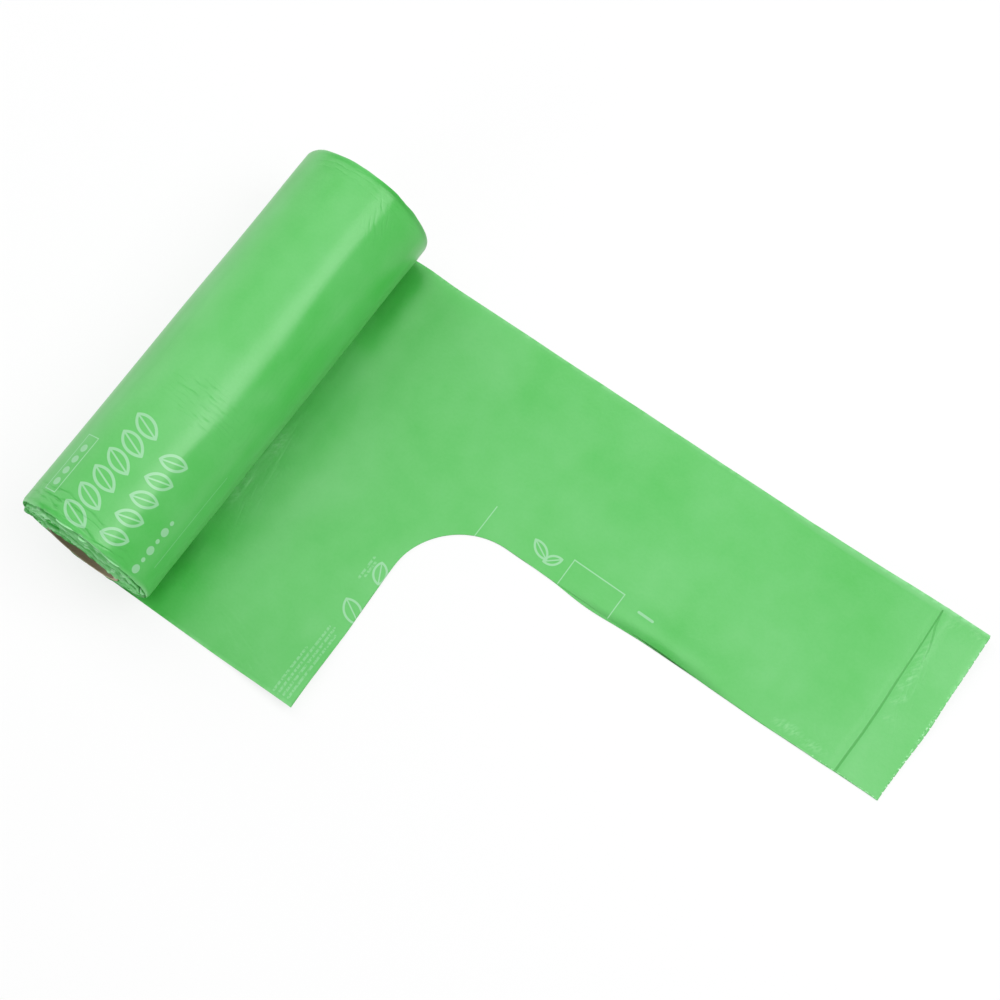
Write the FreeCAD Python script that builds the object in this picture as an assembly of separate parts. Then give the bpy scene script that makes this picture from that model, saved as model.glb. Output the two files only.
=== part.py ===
"""A roll of thin-film bin bags with vest handles, wound on a cardboard tube.

The bags are one continuous folded web, torn apart at perforated lines. The roll lies
on the floor with its axis along Y, and the web leaves it underneath, towards +X. The
first bag lies unrolled: the wide part is its body up to the mouth, and the long strip
is its handle loop, which ends at the tear line. The origin is on the floor, straight
below the middle of the tube. Lengths are in millimetres.
"""
import FreeCAD, Part
import math
import os

# The folded web and the roll that it makes.
WEB_WIDTH = 150.0            # width of the folded web, and so the roll's length
ROLL_DIAMETER = 50.0         # full roll, outside
STACK_THICKNESS = 0.4        # the folded film layers where the web lies loose
FLAT_SAG = 0.35              # how far the roll's weight flattens its underside

# The cardboard tube.
TUBE_BORE = 25.0             # inside diameter of the tube
TUBE_WALL = 1.5              # thickness of the tube's wall
TUBE_LENGTH = 150.0          # length of the tube

# The wound edges at the two ends of the roll.
TURN_PITCH = 1.4             # radial distance between two edges that show as turns
TURN_GAP = 0.3               # width of the dark line between two such edges
TURN_GAP_DEPTH = 0.9         # depth of that line
OUTER_WRAP = 1.0             # sound film outside the last dark line
WINDING_DRIFT = 1.5          # how far the turns step sideways from outside to inside
# Share of that drift at shares of the way from the rim (0) to the tube (1).
DRIFT_STEPS = ((0.0, 0.0), (0.12, 0.0), (0.26, 0.12), (0.34, 0.36), (0.62, 0.50), (0.70, 0.86), (1.0, 1.0))

# The first bag, unrolled. Distances along X are from the roll's axis.
MOUTH_X = 78.0               # straight edge of the bag's mouth
TEAR_X = 249.0               # torn end of the handle loop
HANDLE_WIDTH = 66.0          # width of the folded handle loop
CORNER_RADIUS = 26.0         # rounded corner between the mouth and the handle
SEAL_FROM_TEAR = 17.0        # welded line across the handle, from the torn end
SEAL_WIDTH = 1.2             # width of the welded line
SEAL_DEPTH = 0.2             # how far the weld presses the film down
NICK_PITCH = 3.3             # spacing of the perforation's nicks along the torn end
NICK_WIDTH = 1.1             # length of a nick along the edge
NICK_DEPTH = 0.7             # depth of a nick into the film

# Where the loose film lifts off the floor. FLAT_RUN is where it starts to be free.
FLAT_RUN = 30.0              # length of web that lies dead flat, from the roll's axis
TEAR_CORNER_LIFT = 3.6       # lift of the handle's outer corner at the tear line
TEAR_CORNER_RUN = 75.0       # length of web over which that corner rises
MOUTH_CORNER_LIFT = 4.0      # lift of the mouth's free corner
MOUTH_CORNER_RUN = 34.0      # length of web over which that corner rises
EDGE_CURL_LIFT = 1.6         # height of the hump where the handle's inner edge curls under
EDGE_CURL_START = 122.0      # where along X that hump begins
EDGE_CURL_LENGTH = 80.0      # how long that hump is
EDGE_CURL_REACH = 16.0       # how far into the web that hump reaches
EDGE_CURL_LEAN = 0.75        # below 1, the hump is steeper on the side of the edge
GRID_STEP = 8.0              # spacing of the points that shape the loose film

HALF_WIDTH = WEB_WIDTH / 2.0
HANDLE_INNER_Y = HALF_WIDTH - HANDLE_WIDTH
TUBE_RADIUS = TUBE_BORE / 2.0 + TUBE_WALL
# The outermost turn adds one thickness on its way from the top, down the far side,
# to the floor. So the side by the loose web has the smaller radius.
WEB_SIDE_RADIUS = (ROLL_DIAMETER - STACK_THICKNESS / 2.0) / 2.0
FAR_SIDE_RADIUS = WEB_SIDE_RADIUS + STACK_THICKNESS / 2.0
WEB_SIDE_CENTRE_Z = WEB_SIDE_RADIUS + STACK_THICKNESS - FLAT_SAG
FAR_SIDE_CENTRE_Z = WEB_SIDE_CENTRE_Z - STACK_THICKNESS / 2.0
AXIS_Z = (WEB_SIDE_CENTRE_Z + FAR_SIDE_CENTRE_Z) / 2.0


def vec(x, y, z):
    return FreeCAD.Vector(x, y, z)


def ease(u):
    """0 up to u = 0, 1 from u = 1, and a smooth rise between."""
    u = max(0.0, min(1.0, u))
    return u * u * (3.0 - 2.0 * u)


def closed_face(edges):
    return Part.Face(Part.Wire(edges))


def arc(centre_z, radius, start, end, y):
    """Arc in the plane at y, seen with +X to the right; angles in degrees from +X to +Z."""
    def at(angle):
        a = math.radians(angle)
        return vec(radius * math.cos(a), y, centre_z + radius * math.sin(a))
    return Part.Arc(at(start), at((start + end) / 2.0), at(end)).toShape()


def line(a, b):
    return Part.LineSegment(a, b).toShape()


def box(x0, x1, y0, y1, z0, z1):
    return Part.makeBox(x1 - x0, y1 - y0, z1 - z0, vec(x0, y0, z0))


# The tube. It follows the innermost turns, so it stands out at the near end.
def core_tube():
    y0 = -HALF_WIDTH - WINDING_DRIFT
    start = vec(0.0, y0, AXIS_Z)
    along = vec(0.0, 1.0, 0.0)
    outside = Part.makeCylinder(TUBE_RADIUS, TUBE_LENGTH, start, along)
    bore = Part.makeCylinder(TUBE_BORE / 2.0, TUBE_LENGTH, start, along)
    return outside.cut(bore)


# Section of the wound web: the roll's outside with its flat spot, and the start of the
# loose web, which leaves the far side's arc along the floor.
def roll_section(y):
    far_angle = 270.0 - math.degrees(math.acos(FAR_SIDE_CENTRE_Z / FAR_SIDE_RADIUS))
    rise = WEB_SIDE_CENTRE_Z - STACK_THICKNESS
    web_angle = -90.0 + math.degrees(math.acos(rise / WEB_SIDE_RADIUS))
    far_arc = arc(FAR_SIDE_CENTRE_Z, FAR_SIDE_RADIUS, 90.0, far_angle, y)
    web_arc = arc(WEB_SIDE_CENTRE_Z, WEB_SIDE_RADIUS, web_angle, 90.0, y)
    foot = far_arc.valueAt(far_arc.LastParameter)
    nip = web_arc.valueAt(web_arc.FirstParameter)
    floor_end = vec(FLAT_RUN, y, 0.0)
    top_end = vec(FLAT_RUN, y, STACK_THICKNESS)
    return closed_face([
        far_arc,
        line(foot, floor_end),
        line(floor_end, top_end),
        line(top_end, nip),
        web_arc,
    ])


# The ends of the roll: a shape turned about the tube's axis, with the turns stepping
# towards -Y from the outside of the roll to the tube.
def drifted_length():
    rim = ROLL_DIAMETER / 2.0
    depth = rim - TUBE_RADIUS
    offsets = [(rim - depth * u, -WINDING_DRIFT * v) for u, v in DRIFT_STEPS]
    near = [vec(r, -HALF_WIDTH + dy, AXIS_Z) for r, dy in offsets]
    far = [vec(r, HALF_WIDTH + dy, AXIS_Z) for r, dy in reversed(offsets)]
    outer = 2.0 * rim
    corners = [vec(outer, -HALF_WIDTH, AXIS_Z)] + near + far + [vec(outer, HALF_WIDTH, AXIS_Z)]
    face = Part.Face(Part.makePolygon(corners + corners[:1]))
    return face.revolve(vec(0.0, 0.0, AXIS_Z), vec(0.0, 1.0, 0.0), 360.0)


# The dark line between the turns: a spiral of half circles, each half a pitch wider
# than the last and on alternate centres, so that they run on without a kink.
def spiral_gap(y0, y1):
    first = TUBE_RADIUS + TURN_PITCH
    last = ROLL_DIAMETER / 2.0 - OUTER_WRAP
    halves = int(2.0 * (last - first) / TURN_PITCH)
    inner = []
    outer = []
    for n in range(halves):
        radius = first + n * TURN_PITCH / 2.0
        centre_z = AXIS_Z + (-TURN_PITCH / 4.0 if n % 2 else TURN_PITCH / 4.0)
        start, end = (90.0, 270.0) if n % 2 else (-90.0, 90.0)
        inner.append(arc(centre_z, radius, start, end, y0))
        outer.append(arc(centre_z, radius + TURN_GAP, start, end, y0))
    head = line(inner[0].firstVertex().Point, outer[0].firstVertex().Point)
    tail = line(inner[-1].lastVertex().Point, outer[-1].lastVertex().Point)
    face = closed_face(inner + [tail] + outer[::-1] + [head])
    return face.extrude(vec(0.0, y1 - y0, 0.0))


# How far the loose film stands off the floor at a point.
def lift(x, y):
    up_tear = ease((x - (TEAR_X - TEAR_CORNER_RUN)) / TEAR_CORNER_RUN)
    across_tear = ease((y - HANDLE_INNER_Y) / HANDLE_WIDTH)
    up_mouth = ease((x - (MOUTH_X - MOUTH_CORNER_RUN)) / MOUTH_CORNER_RUN)
    across_mouth = ease((-y - (HALF_WIDTH - MOUTH_CORNER_RUN)) / MOUTH_CORNER_RUN)
    along_curl = (x - EDGE_CURL_START) / EDGE_CURL_LENGTH
    along_curl = math.sin(math.pi * max(0.0, min(1.0, along_curl))) ** 2
    across_curl = max(0.0, min(1.0, (y - HANDLE_INNER_Y) / EDGE_CURL_REACH))
    across_curl = math.sin(math.pi * across_curl ** EDGE_CURL_LEAN) ** 2
    return (TEAR_CORNER_LIFT * up_tear * across_tear
            + MOUTH_CORNER_LIFT * up_mouth * across_mouth
            + EDGE_CURL_LIFT * along_curl * across_curl)


# Knots of a cubic spline that is drawn towards its points and never passes them, so
# the film can't dip below the floor.
def clamped_knots(count):
    spans = count - 3
    return [4] + [1] * (spans - 1) + [4], [float(n) for n in range(spans + 1)]


# A layer of the loose film: it follows the lifted surface from z0 to z1 above it.
def film_layer(z0, z1):
    x_end = TEAR_X + GRID_STEP
    y_end = HALF_WIDTH + GRID_STEP
    columns = int(math.ceil((x_end - FLAT_RUN) / GRID_STEP)) + 1
    rows = int(math.ceil(2.0 * y_end / GRID_STEP)) + 1
    points = []
    for i in range(columns):
        x = FLAT_RUN + (x_end - FLAT_RUN) * i / (columns - 1)
        ys = [-y_end + 2.0 * y_end * j / (rows - 1) for j in range(rows)]
        points.append([vec(x, y, lift(x, y) + z0) for y in ys])
    x_mults, x_knots = clamped_knots(columns)
    y_mults, y_knots = clamped_knots(rows)
    surface = Part.BSplineSurface()
    surface.buildFromPolesMultsKnots(points, x_mults, y_mults, x_knots, y_knots, False, False, 3, 3)
    return surface.toShape().extrude(vec(0.0, 0.0, z1 - z0))


# The torn end, from the inner edge of the handle outwards, with the perforation's nicks.
def torn_edge():
    count = int(HANDLE_WIDTH / NICK_PITCH)
    first = HANDLE_INNER_Y + (HANDLE_WIDTH - (count - 1) * NICK_PITCH) / 2.0
    points = [vec(TEAR_X, HANDLE_INNER_Y, 0.0)]
    for n in range(count):
        middle = first + n * NICK_PITCH
        points.append(vec(TEAR_X, middle - NICK_WIDTH / 2.0, 0.0))
        points.append(vec(TEAR_X - NICK_DEPTH, middle, 0.0))
        points.append(vec(TEAR_X, middle + NICK_WIDTH / 2.0, 0.0))
    points.append(vec(TEAR_X, HALF_WIDTH, 0.0))
    return points


# Outline of the loose web on the floor: the bag's body up to its mouth, the rounded
# corner, and the handle up to the torn end.
def bag_outline():
    corner_x = MOUTH_X + CORNER_RADIUS
    corner_y = HANDLE_INNER_Y - CORNER_RADIUS
    slant = CORNER_RADIUS * math.sqrt(0.5)
    body_corner = vec(FLAT_RUN, -HALF_WIDTH, 0.0)
    mouth_corner = vec(MOUTH_X, -HALF_WIDTH, 0.0)
    mouth_end = vec(MOUTH_X, corner_y, 0.0)
    bend = vec(corner_x - slant, corner_y + slant, 0.0)
    handle_start = vec(corner_x, HANDLE_INNER_Y, 0.0)
    torn = torn_edge()
    back_corner = vec(FLAT_RUN, HALF_WIDTH, 0.0)
    edges = [
        line(body_corner, mouth_corner),
        line(mouth_corner, mouth_end),
        Part.Arc(mouth_end, bend, handle_start).toShape(),
        line(handle_start, torn[0]),
    ]
    for a, b in zip(torn, torn[1:]):
        edges.append(line(a, b))
    edges.append(line(torn[-1], back_corner))
    edges.append(line(back_corner, body_corner))
    return closed_face(edges)


def loose_web():
    height = TEAR_CORNER_LIFT + MOUTH_CORNER_LIFT + EDGE_CURL_LIFT + 2.0 * STACK_THICKNESS
    plan = bag_outline()
    plan.translate(vec(0.0, 0.0, -STACK_THICKNESS))
    web = film_layer(0.0, STACK_THICKNESS).common(plan.extrude(vec(0.0, 0.0, height)))
    seal_x = TEAR_X - SEAL_FROM_TEAR
    weld = film_layer(STACK_THICKNESS - SEAL_DEPTH, 2.0 * STACK_THICKNESS).common(
        box(seal_x - SEAL_WIDTH / 2.0, seal_x + SEAL_WIDTH / 2.0,
            HANDLE_INNER_Y - STACK_THICKNESS, HALF_WIDTH + STACK_THICKNESS,
            -STACK_THICKNESS, height))
    return web.cut(weld)


# The whole web: the wound roll, its start along the floor, and the loose first bag.
def bag_web():
    y_near = -HALF_WIDTH - WINDING_DRIFT
    length = WEB_WIDTH + 2.0 * WINDING_DRIFT
    wound = roll_section(y_near).extrude(vec(0.0, length, 0.0))
    wound = wound.common(drifted_length())
    seat = Part.makeCylinder(TUBE_RADIUS, length, vec(0.0, y_near, AXIS_Z), vec(0.0, 1.0, 0.0))
    wound = wound.cut(seat)
    near_gap = spiral_gap(y_near, -HALF_WIDTH + TURN_GAP_DEPTH)
    far_gap = spiral_gap(HALF_WIDTH - WINDING_DRIFT - TURN_GAP_DEPTH, HALF_WIDTH)
    wound = wound.cut(near_gap).cut(far_gap)
    return wound.fuse(loose_web()).removeSplitter()


def one_solid(name, shape):
    solids = shape.Solids
    print(name, "solids", len(solids), "valid", shape.isValid(),
          "volume", round(shape.Volume, 1), "faces", len(shape.Faces))
    return solids[0] if len(solids) == 1 else shape


NODES = {
    "core_tube": core_tube,
    "bag_web": bag_web,
}

os.makedirs("parts", exist_ok=True)
for node, make in NODES.items():
    piece = one_solid(node, make())
    bounds = piece.optimalBoundingBox()
    print(node, "from", [round(v, 2) for v in (bounds.XMin, bounds.YMin, bounds.ZMin)],
          "to", [round(v, 2) for v in (bounds.XMax, bounds.YMax, bounds.ZMax)])
    piece.exportStep("parts/" + node + ".step")
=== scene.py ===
# %% [markdown]
# # A roll of green bin bags, with the first bag unrolled
#
# The real object is one long web of folded film, wound on a cardboard tube. The CAD
# model holds its sizes and its collision shapes. This script dresses it: a tube of
# cardboard, the wound turns of film, and the first bag, which lies flat on the floor.
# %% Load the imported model
import bpy
import math
import numpy as np
from mathutils import Matrix, Vector, noise


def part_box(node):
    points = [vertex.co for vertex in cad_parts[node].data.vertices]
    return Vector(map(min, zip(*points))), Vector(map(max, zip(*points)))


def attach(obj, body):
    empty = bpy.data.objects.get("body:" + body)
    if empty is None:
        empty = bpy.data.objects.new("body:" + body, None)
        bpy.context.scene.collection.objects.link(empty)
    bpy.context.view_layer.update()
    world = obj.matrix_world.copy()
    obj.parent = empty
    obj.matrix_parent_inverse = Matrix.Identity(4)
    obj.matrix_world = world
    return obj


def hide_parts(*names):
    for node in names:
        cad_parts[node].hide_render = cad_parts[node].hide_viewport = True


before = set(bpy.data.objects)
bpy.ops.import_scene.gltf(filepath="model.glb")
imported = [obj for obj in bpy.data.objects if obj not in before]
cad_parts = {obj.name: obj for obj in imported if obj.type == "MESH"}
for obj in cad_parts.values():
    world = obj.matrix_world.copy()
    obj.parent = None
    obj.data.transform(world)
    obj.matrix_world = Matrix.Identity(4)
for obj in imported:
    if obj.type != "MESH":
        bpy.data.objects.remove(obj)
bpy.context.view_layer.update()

MM = 0.001
tube_low, tube_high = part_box("core_tube")
web_low, web_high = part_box("bag_web")

# %% [markdown]
# ## Sizes
#
# The pieces take their places from the CAD boxes. Sizes that a box can't tell, such as
# the tube's wall or the mouth's place, are repeated here from the CAD model.
# %% Sizes shared by the pieces
AXIS_Z = (tube_low[2] + tube_high[2]) / 2
TUBE_R = (tube_high[0] - tube_low[0]) / 2
TUBE_WALL = 1.5 * MM
HALF_W = 75 * MM            # half the width of the folded web
ROLL_R = 24.9 * MM          # radius of the roll on the side of the loose bag
TAIL_T = 0.4 * MM           # the folded film where it lies loose
START_X = -4 * MM           # where the loose film begins, under the roll
MOUTH_X = 78 * MM           # straight edge of the bag's mouth
TEAR_X = 249 * MM           # torn end of the handle
INNER_Y = 9 * MM            # inner edge of the handle
CORNER_R = 26 * MM          # rounded corner between mouth and handle
SEAL_X = TEAR_X - 17 * MM   # welded line across the handle
print("roll axis at z =", round(AXIS_Z / MM, 2), "mm")

# %% [markdown]
# ## Small helpers
#
# An operator works on what is selected, so each piece starts with nothing selected.
# A finished piece keeps its place in its mesh, and its object stays at the origin.
# %% Helpers for adding and finishing a piece
def start_fresh():
    if bpy.context.mode != "OBJECT":
        bpy.ops.object.mode_set(mode="OBJECT")
    bpy.ops.object.select_all(action="DESELECT")


def keep_as(name):
    """Name the object that was just added, and put its place and turn into its mesh."""
    piece = bpy.context.object
    piece.name = name
    piece.data.name = name
    bpy.ops.object.transform_apply(location=True, rotation=True, scale=True)
    return piece


def pick_points(piece, wanted):
    """Go into edit mode with just those vertices selected whose place passes the test."""
    bpy.ops.object.mode_set(mode="EDIT")
    bpy.ops.mesh.select_mode(type="VERT")
    bpy.ops.mesh.select_all(action="DESELECT")
    bpy.ops.object.mode_set(mode="OBJECT")
    for vertex in piece.data.vertices:
        vertex.select = wanted(vertex.co)
    bpy.ops.object.mode_set(mode="EDIT")


def apply_modifier(piece, kind, **settings):
    modifier = piece.modifiers.new(kind.lower(), kind)
    for key, value in settings.items():
        setattr(modifier, key, value)
    bpy.context.view_layer.objects.active = piece
    bpy.ops.object.modifier_apply(modifier=modifier.name)


# %% [markdown]
# ### Shapes made by moving points
#
# Film is soft, and its slack, folds and waves follow no straight line. So these shapes
# are made by moving a mesh's points with numpy. Noise with a fixed seed gives the lumps,
# and two curves with soft ends say where a shape begins and stops.
# %% Helpers that read and move points
def points_of(mesh):
    flat = np.empty(len(mesh.vertices) * 3)
    mesh.vertices.foreach_get("co", flat)
    return flat.reshape(-1, 3)


def move_points(mesh, points):
    mesh.vertices.foreach_set("co", points.ravel())
    mesh.update()


def soft_noise(points, size, seed):
    """Smooth noise between about -1 and 1 at each row of points, with lumps of this size."""
    shift = Vector((seed * 7.3, seed * 3.1, seed * 5.7))
    return np.array([noise.noise(Vector(p) / size + shift) for p in points])


def ease(u):
    u = np.clip(u, 0, 1)
    return u * u * (3 - 2 * u)


def bump(value, centre, reach):
    """1 at the centre and 0 from one reach away, with a smooth fall between."""
    return ease(1 - np.abs(value - centre) / reach)


def on_floor(x, y):
    """Rows of points on the floor, to take noise at."""
    return np.column_stack([x, y, x * 0])


print("a bump in five steps:", bump(np.linspace(-1, 1, 5), 0, 1).round(2))

# %% [markdown]
# ## The cardboard tube
#
# On the real roll this is a spiral-wound paper tube with a cut end. A cylinder with no
# caps gets its wall from Solidify, and a narrow bevel takes the sharpness off the rims.
# Its length and place are those of the CAD tube.
# %% Model the tube
RIM_BEVEL = 0.22 * MM
start_fresh()
bpy.ops.mesh.primitive_cylinder_add(
    vertices=120, radius=TUBE_R, depth=tube_high[1] - tube_low[1], end_fill_type="NOTHING",
    location=(0, (tube_low[1] + tube_high[1]) / 2, AXIS_Z), rotation=(math.pi / 2, 0, 0))
tube = keep_as("cardboard_tube")
apply_modifier(tube, "SOLIDIFY", thickness=TUBE_WALL, offset=-1)
apply_modifier(tube, "BEVEL", width=RIM_BEVEL, segments=2, angle_limit=math.radians(50))
bpy.ops.object.shade_smooth_by_angle(angle=math.radians(35))
print("tube faces:", len(tube.data.polygons))

# %% [markdown]
# ## The wound turns
#
# The turns of film are one body. Its outline, seen in a lengthwise section, is a
# rectangle between the tube and the outside. Spinning that outline about the tube's
# axis gives the whole roll, with a close mesh on the ends where the turns show.
# %% Draw the section and spin it
END_CELLS = 64
LENGTH_CELLS = 140
SPIN_STEPS = 256
hole_r = TUBE_R + 0.03 * MM

start_fresh()
bpy.ops.mesh.primitive_grid_add(
    x_subdivisions=END_CELLS, y_subdivisions=LENGTH_CELLS, size=1,
    location=((hole_r + ROLL_R) / 2, 0, AXIS_Z))
bpy.context.object.scale = (ROLL_R - hole_r, 2 * HALF_W, 1)
roll = keep_as("wound_turns")
NEARLY = 0.001 * MM           # nearer than this is the same place
pick_points(roll, lambda p: (hole_r + NEARLY < p.x < ROLL_R - NEARLY
                             and abs(p.y) < HALF_W - NEARLY))
bpy.ops.mesh.delete(type="VERT")
pick_points(roll, lambda p: p.x < hole_r + NEARLY and abs(p.y) < HALF_W - NEARLY)
bpy.ops.mesh.dissolve_verts()
bpy.ops.mesh.select_all(action="SELECT")
bpy.ops.mesh.spin(steps=SPIN_STEPS, angle=2 * math.pi, center=(0, 0, AXIS_Z), axis=(0, 1, 0))
bpy.ops.mesh.select_all(action="SELECT")
bpy.ops.mesh.remove_doubles(threshold=0.004 * MM)
bpy.ops.mesh.normals_make_consistent(inside=False)
bpy.ops.object.mode_set(mode="OBJECT")
print("roll faces:", len(roll.data.polygons))

# %% [markdown]
# ### The turns at the two ends
#
# The end faces are pushed in and out along a spiral, so that each turn shows as a thin
# ridge of its own. The turns step towards the near end as they go in, as the CAD model's
# do. The near end is crumpled over its upper half, where the film has been handled, and
# a dark gap runs under the outermost turn.
# %% Where each point of the roll lies
points = points_of(roll.data)
x = points[:, 0].copy()
y = points[:, 1].copy()
z = points[:, 2] - AXIS_Z
radius = np.hypot(x, z)
angle = np.arctan2(x, z)                       # 0 at the top, positive towards the loose bag
depth = (ROLL_R - radius) / (ROLL_R - TUBE_R)  # 0 at the rim, 1 at the tube
on_end = np.abs(np.abs(y) - HALF_W) < NEARLY
near = on_end & (y < 0)
far = on_end & (y > 0)
print("points on the near end:", near.sum(), "and on the far end:", far.sum())

# %% Spiral, lumps and flakes of the ends
TURN_PITCH = 0.62 * MM
turn = (radius - TUBE_R) / TURN_PITCH - (angle % (2 * math.pi)) / (2 * math.pi)
share = turn - np.floor(turn)
walk = 2 * math.pi * np.floor(turn) + angle % (2 * math.pi)
ridge = np.clip(1 - np.abs(2 * share - 1) ** 2.2, 0, 1)
along_walk = np.column_stack([walk, walk * 0, walk * 0])
turn_height = 0.9 * soft_noise(along_walk, 1.3, 2) + 0.5 * soft_noise(along_walk, 0.4, 5)
along = np.column_stack([20 * np.sin(angle), 20 * np.cos(angle), radius / MM + 40 * np.sign(y)])
lumps = soft_noise(along * np.array([1, 1, 2.4]), 9.0, 9)
layers = soft_noise(along * np.array([1, 1, 4.6]), 6.0, 15)
crumple = 1 - 2.2 * np.abs(layers)
flakes = ease((soft_noise(along * np.array([1, 1, 2.2]), 2.6, 27) - 0.28) / 0.2)
pockets = ease((soft_noise(along * np.array([1, 1, 2.0]), 4.2, 33) - 0.30) / 0.15)
print("wound turns seen on an end:", round((ROLL_R - TUBE_R) / TURN_PITCH))

# %% [markdown]
# The amounts that follow are in millimetres. They fade out at the rim, and on the near
# end also on its lower half, where the turns were never handled.
# %% Push the turns in and out
STEP_OUT = 1.5                                 # how far the innermost turns stand out
DRIFT_AT = [0.0, 0.12, 0.26, 0.34, 0.62, 0.70, 1.0]
DRIFT_BY = [0.0, 0.0, 0.12, 0.36, 0.50, 0.86, 1.0]
drift = STEP_OUT * np.interp(depth, DRIFT_AT, DRIFT_BY)
upper_half = ease((np.cos(angle) + 0.15) / 0.6)
inner_fade = ease(depth / 0.08)
under_wrap = bump(depth, 0.10, 0.07)           # the gap under the outermost turn
left_dip = bump(angle, math.radians(-118), math.radians(42)) * ease(depth / 0.05)

near_out = drift * (0.25 + 0.75 * upper_half) - 1.4 * left_dip
near_out += (0.22 + 0.25 * turn_height) * ridge * inner_fade * (0.3 + 0.7 * upper_half)
near_out += ((0.60 * crumple + 0.45 * lumps + 0.3 * flakes) * inner_fade
             * (0.1 + 0.9 * upper_half))
near_out -= under_wrap * (1.5 + 0.6 * lumps) + 0.9 * pockets * inner_fade * upper_half
rim_wave = soft_noise(np.column_stack([np.sin(angle), np.cos(angle), angle * 0]) * 25, 5.0, 19)
near_out += 0.3 * rim_wave * (1 - inner_fade)
far_out = -drift + (0.26 + 0.26 * turn_height) * ridge * inner_fade + 0.25 * lumps * inner_fade
far_out += 0.2 * rim_wave * (1 - inner_fade) - 0.5 * under_wrap
y = np.where(near, y - near_out * MM, y)
y = np.where(far, y + far_out * MM, y)
print("near end from", round(y.min() / MM, 2), "mm, far end to", round(y.max() / MM, 2), "mm")

# %% [markdown]
# ### Slack in the outer turns
#
# Film wound under little tension never lies as a true cylinder. Broad shallow hollows
# cover it, and a soft crest runs along the upper right, where the last turn was pulled
# flat before it bends down to the floor. The underside is pressed flat by the weight.
# %% Slack and the crest
# where the crest lies along the roll in mm, and how far it is turned from the top in degrees
CREST_Y = [-75, -64, -56, -46, -34, -22, -14, 0, 12, 28, 40, 54, 71]
CREST_TURN = [30, 30, 33, 29, 29.5, 35, 37, 38.5, 37.5, 35, 33, 32, 32]
CREST_REACH = (19.0, 9.0)       # degrees it spreads towards the top, and down the side
CREST_HEIGHT = 0.42             # mm
HOLLOWS = 0.26                  # mm, about the depth of the broad hollows

on_skin = np.column_stack([np.sin(angle) * 25, np.cos(angle) * 25, y / MM])
broad = soft_noise(on_skin * np.array([1.0, 1.0, 0.55]), 19.0, 3)
fine = soft_noise(on_skin * np.array([1.0, 1.0, 0.35]), 6.0, 11)
from_crest = np.degrees(angle) - np.interp(y / MM, CREST_Y, CREST_TURN)
crest = np.exp(-(from_crest / np.where(from_crest < 0, *CREST_REACH)) ** 2)
end_pull = ease((np.abs(y) / MM - 55) / 20)
slack = HOLLOWS * broad + 0.05 * fine + 0.10 * soft_noise(on_skin, 4.0, 21) * end_pull
uneven = soft_noise(on_skin * np.array([1.0, 1.0, 0.5]), 11.0, 23)
slack += CREST_HEIGHT * crest * (1 + 0.35 * uneven)
print("slack from", round(slack.min(), 2), "to", round(slack.max(), 2), "mm")

# %% Worn rims and the flat underside
RIM_WEAR = 0.35                 # mm taken off the rim
RIM_REACH = 1.2 * MM            # how far from the end the wear begins

rim_round = RIM_WEAR * ease((np.abs(y) - (HALF_W - RIM_REACH)) / RIM_REACH) ** 2
far_side = ease(-np.sin(angle) * 4 + 0.5)      # the outermost turn adds its thickness there
skin = ease((0.08 - depth) / 0.08)
full_r = radius + ((slack - rim_round) * MM + far_side * TAIL_T / 2) * skin

x = full_r * np.sin(angle)
z = AXIS_Z + full_r * np.cos(angle)
rests = np.where(x > START_X - 0.2 * MM, TAIL_T + 0.02 * MM, 0.0)
z = np.maximum(z, rests)
move_points(roll.data, np.column_stack([x, y, z]))
print("roll top at", round(z.max() / MM, 2), "mm")

# %% [markdown]
# ### How light the film is
#
# Seen from its edge, film is pale. A gap or hollow between turns gets painted shade, a darker
# tone. No map tells that, so each point of the mesh stores a tone, which the material turns into
# colour.
# %% Tone of the wound turns
def set_tone(piece, tone):
    """Store how light each point of the film is: 0 dark, 0.5 plain, 1 light."""
    layer = piece.data.attributes.new("tone", "FLOAT", "POINT")
    layer.data.foreach_set("value", np.clip(tone, 0, 1))


CUT_TONE = 0.585
RIM_TONE = 0.60
end_tone = CUT_TONE + 0.10 * ridge * (1 + 0.5 * turn_height)
end_tone += 0.10 * np.clip(crumple, 0, 1) ** 2 + 0.12 * lumps + 0.40 * flakes
# painted shade: darker in the gap under the outermost turn, in the dip at the left and in the
# pockets
end_tone -= 0.34 * under_wrap + 0.14 * left_dip + 0.34 * pockets
at_rim = radius >= ROLL_R - 0.1 * MM
tone = np.where(on_end, np.where(at_rim, RIM_TONE, end_tone), 0.5)
# painted shade: a darker line along the right part of the far rim
far_rim = ease((y / MM - 72.4) / 1.6) * ease((np.degrees(angle) - 6) / 30)
tone -= 0.19 * far_rim * ease((radius - 0.9 * ROLL_R) / (0.08 * ROLL_R))
# painted light: a paler band on the upper left of the roll, a painted sheen
tone += 0.07 * bump(np.degrees(angle), -40, 14)
set_tone(roll, tone)
print("tones from", round(tone.min(), 2), "to", round(tone.max(), 2))

# %% [markdown]
# ### A map of the film
#
# The print and the fine texture follow the film round the roll, so the piece gets a map
# in metres: across the picture is the way round from the top, upwards is along the roll.
# %% Unroll the film into a map
def corner_points(mesh):
    """For each corner of each face, the number of its point."""
    numbers = np.empty(len(mesh.loops), dtype=np.int32)
    mesh.loops.foreach_get("vertex_index", numbers)
    return numbers


def map_film(piece, corners_uv):
    layer = piece.data.uv_layers.new(name="film_map")
    layer.data.foreach_set("uv", corners_uv.astype(np.float32).ravel())


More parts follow.
